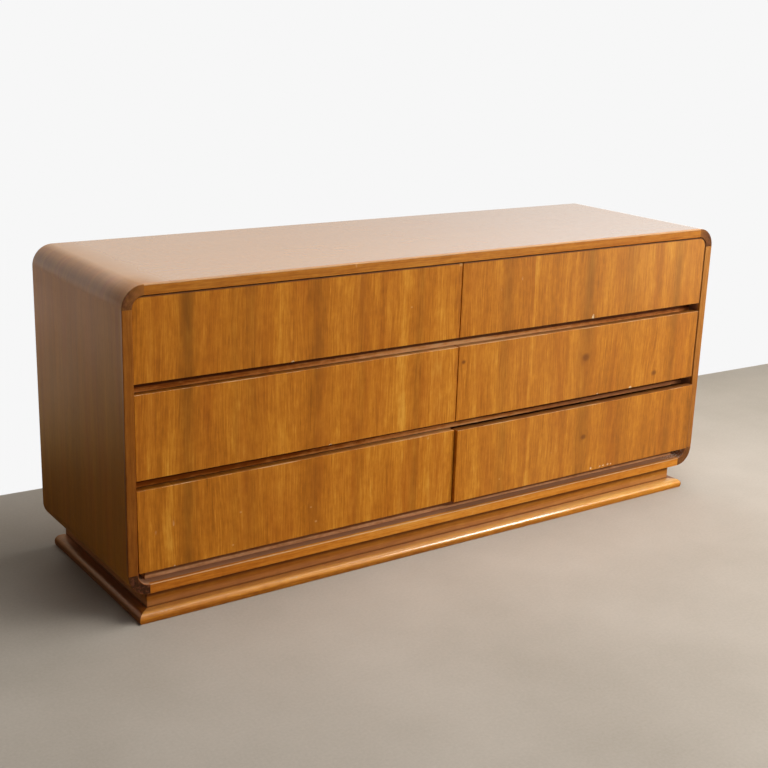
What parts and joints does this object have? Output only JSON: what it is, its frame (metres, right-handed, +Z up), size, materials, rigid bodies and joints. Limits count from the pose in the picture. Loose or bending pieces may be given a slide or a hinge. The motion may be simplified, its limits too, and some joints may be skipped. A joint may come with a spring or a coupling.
{
  "type": "low dresser",
  "caption": "Low wooden dresser with a round-cornered case, flush drawer fronts pulled open by finger gaps, and a plinth with a rounded base moulding.",
  "frame": {"origin": "on the floor under the middle of the case, which is the middle of the bounding box's base to within the 4 mm that the ajar drawer shifts it", "axes": "+X along the length to the right seen from the front, +Y from the front to the back, +Z up; the drawers open towards -Y"},
  "size_m": [1.6, 0.475, 0.694],
  "materials": {
    "case_veneer": "satin lacquered walnut veneer",
    "solid_edging": "satin lacquered solid wood",
    "corner_end_grain": "satin lacquered end grain",
    "front_veneer": "satin lacquered walnut veneer, vertical grain",
    "drawer_box_wood": "plain sealed wood",
    "inner_board": "unfinished board"
  },
  "bodies": {
    "case": {"top_panel": "case_veneer", "bottom_panel": "case_veneer", "left_side_panel": "case_veneer", "right_side_panel": "case_veneer", "top_lipping": "solid_edging", "bottom_lipping": "solid_edging", "left_side_lipping": "solid_edging", "right_side_lipping": "solid_edging", "top_left_corner": "corner_end_grain", "top_right_corner": "corner_end_grain", "bottom_left_corner": "corner_end_grain", "bottom_right_corner": "corner_end_grain", "back_panel": "inner_board", "centre_partition": "inner_board", "upper_rail": "solid_edging", "lower_rail": "solid_edging", "bottom_rail": "solid_edging", "plinth_front": "solid_edging", "plinth_left": "solid_edging", "plinth_right": "solid_edging", "plinth_back": "inner_board", "base_moulding_front": "solid_edging", "base_moulding_left": "solid_edging", "base_moulding_right": "solid_edging", "top_left_runner": "drawer_box_wood", "top_right_runner": "drawer_box_wood", "middle_left_runner": "drawer_box_wood", "middle_right_runner": "drawer_box_wood", "lower_left_runner": "drawer_box_wood", "lower_right_runner": "drawer_box_wood"},
    "top_left_drawer": {"top_left_drawer_front": "front_veneer", "top_left_drawer_left_side": "drawer_box_wood", "top_left_drawer_right_side": "drawer_box_wood", "top_left_drawer_back": "drawer_box_wood", "top_left_drawer_bottom": "inner_board"},
    "top_right_drawer": {"top_right_drawer_front": "front_veneer", "top_right_drawer_left_side": "drawer_box_wood", "top_right_drawer_right_side": "drawer_box_wood", "top_right_drawer_back": "drawer_box_wood", "top_right_drawer_bottom": "inner_board"},
    "middle_left_drawer": {"middle_left_drawer_front": "front_veneer", "middle_left_drawer_left_side": "drawer_box_wood", "middle_left_drawer_right_side": "drawer_box_wood", "middle_left_drawer_back": "drawer_box_wood", "middle_left_drawer_bottom": "inner_board"},
    "middle_right_drawer": {"middle_right_drawer_front": "front_veneer", "middle_right_drawer_left_side": "drawer_box_wood", "middle_right_drawer_right_side": "drawer_box_wood", "middle_right_drawer_back": "drawer_box_wood", "middle_right_drawer_bottom": "inner_board"},
    "lower_left_drawer": {"lower_left_drawer_front": "front_veneer", "lower_left_drawer_left_side": "drawer_box_wood", "lower_left_drawer_right_side": "drawer_box_wood", "lower_left_drawer_back": "drawer_box_wood", "lower_left_drawer_bottom": "inner_board"},
    "lower_right_drawer": {"lower_right_drawer_front": "front_veneer", "lower_right_drawer_left_side": "drawer_box_wood", "lower_right_drawer_right_side": "drawer_box_wood", "lower_right_drawer_back": "drawer_box_wood", "lower_right_drawer_bottom": "inner_board"}
  },
  "joints": [
    {"name": "top_left_drawer_slide", "type": "slide", "parent": "case", "child": "top_left_drawer", "axis": [0, -1, 0], "range_m": [0, 0.3]},
    {"name": "top_right_drawer_slide", "type": "slide", "parent": "case", "child": "top_right_drawer", "axis": [0, -1, 0], "range_m": [0, 0.3]},
    {"name": "middle_left_drawer_slide", "type": "slide", "parent": "case", "child": "middle_left_drawer", "axis": [0, -1, 0], "range_m": [0, 0.3]},
    {"name": "middle_right_drawer_slide", "type": "slide", "parent": "case", "child": "middle_right_drawer", "axis": [0, -1, 0], "range_m": [0, 0.3]},
    {"name": "lower_left_drawer_slide", "type": "slide", "parent": "case", "child": "lower_left_drawer", "axis": [0, -1, 0], "range_m": [0, 0.3]},
    {"name": "lower_right_drawer_slide", "type": "slide", "parent": "case", "child": "lower_right_drawer", "axis": [0, -1, 0], "range_m": [-0.008, 0.292]}
  ]
}
